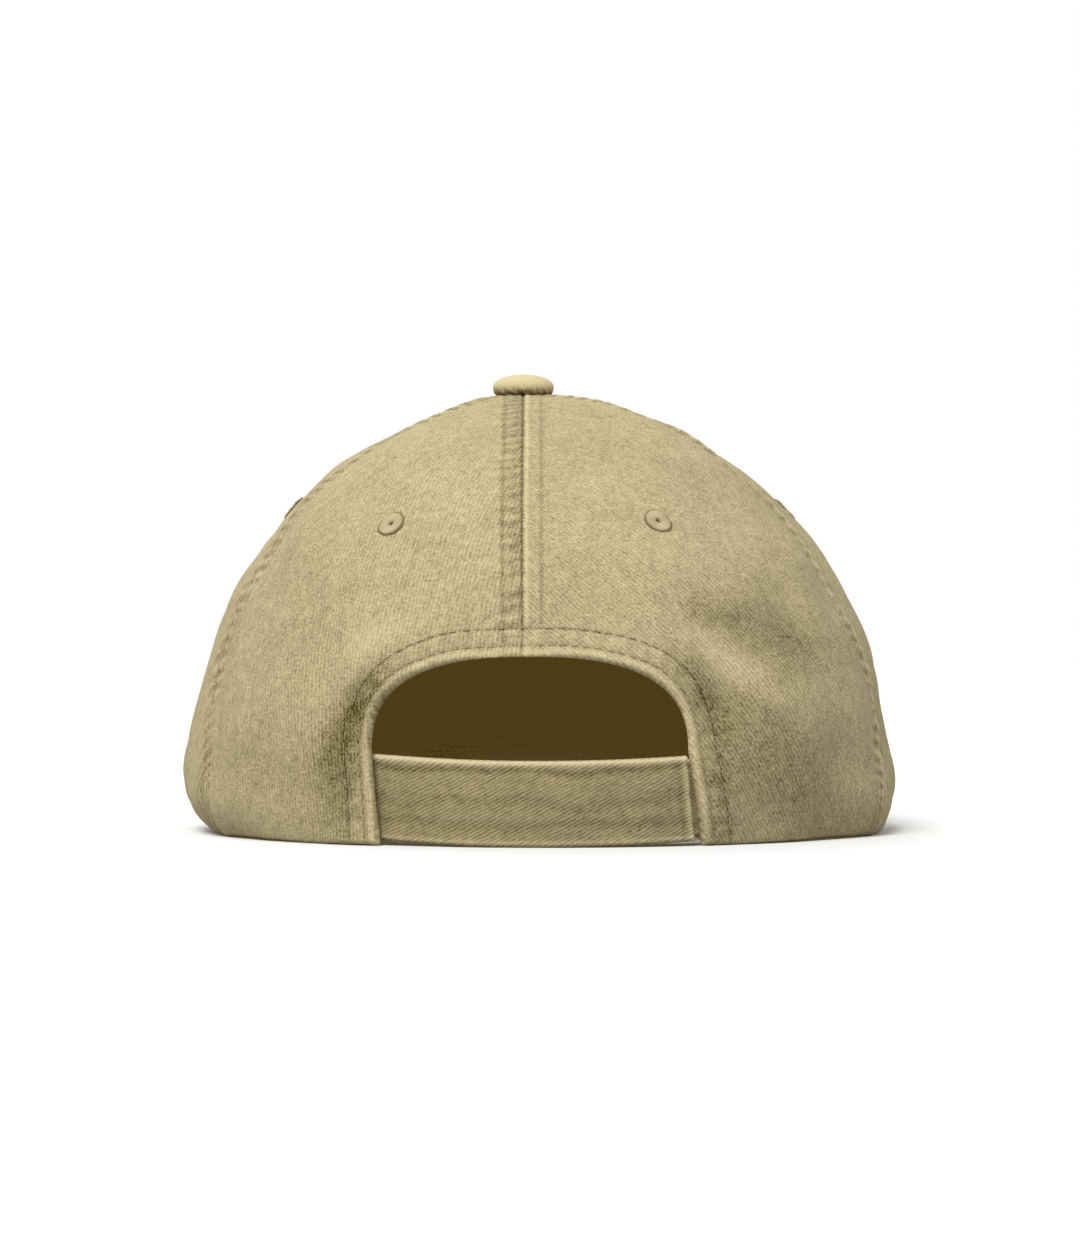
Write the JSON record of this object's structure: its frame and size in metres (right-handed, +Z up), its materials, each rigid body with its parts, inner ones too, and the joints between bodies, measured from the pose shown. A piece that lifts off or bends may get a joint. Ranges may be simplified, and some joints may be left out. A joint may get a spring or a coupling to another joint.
{
  "type": "baseball cap",
  "caption": "Washed khaki cotton-twill baseball cap with a low soft crown, a covered top button, a curved peak and a cloth strap lapped across the rear arch.",
  "frame": {"origin": "on the ground, at the middle of the cap's overall length and width as it rests on its rim", "axes": "+Z up through the top button; -Y towards the peak and +Y towards the rear arch and strap; +X towards the wearer's left"},
  "size_m": [0.184, 0.269, 0.1179],
  "materials": {
    "khaki_twill": "matte",
    "khaki_strap": "matte",
    "khaki_thread": "matte"
  },
  "bodies": {
    "root": {"panel_back_left": "khaki_twill", "panel_back_right": "khaki_twill", "panel_side_left": "khaki_twill", "panel_side_right": "khaki_twill", "panel_front_left": "khaki_twill", "panel_front_right": "khaki_twill", "peak": "khaki_twill", "top_button": "khaki_twill", "closure_strap": "khaki_strap", "closure_tab": "khaki_strap", "eyelet_back_left": "khaki_thread", "eyelet_back_right": "khaki_thread", "eyelet_side_left": "khaki_thread", "eyelet_side_right": "khaki_thread", "eyelet_front_left": "khaki_thread", "eyelet_front_right": "khaki_thread"}
  },
  "joints": []
}
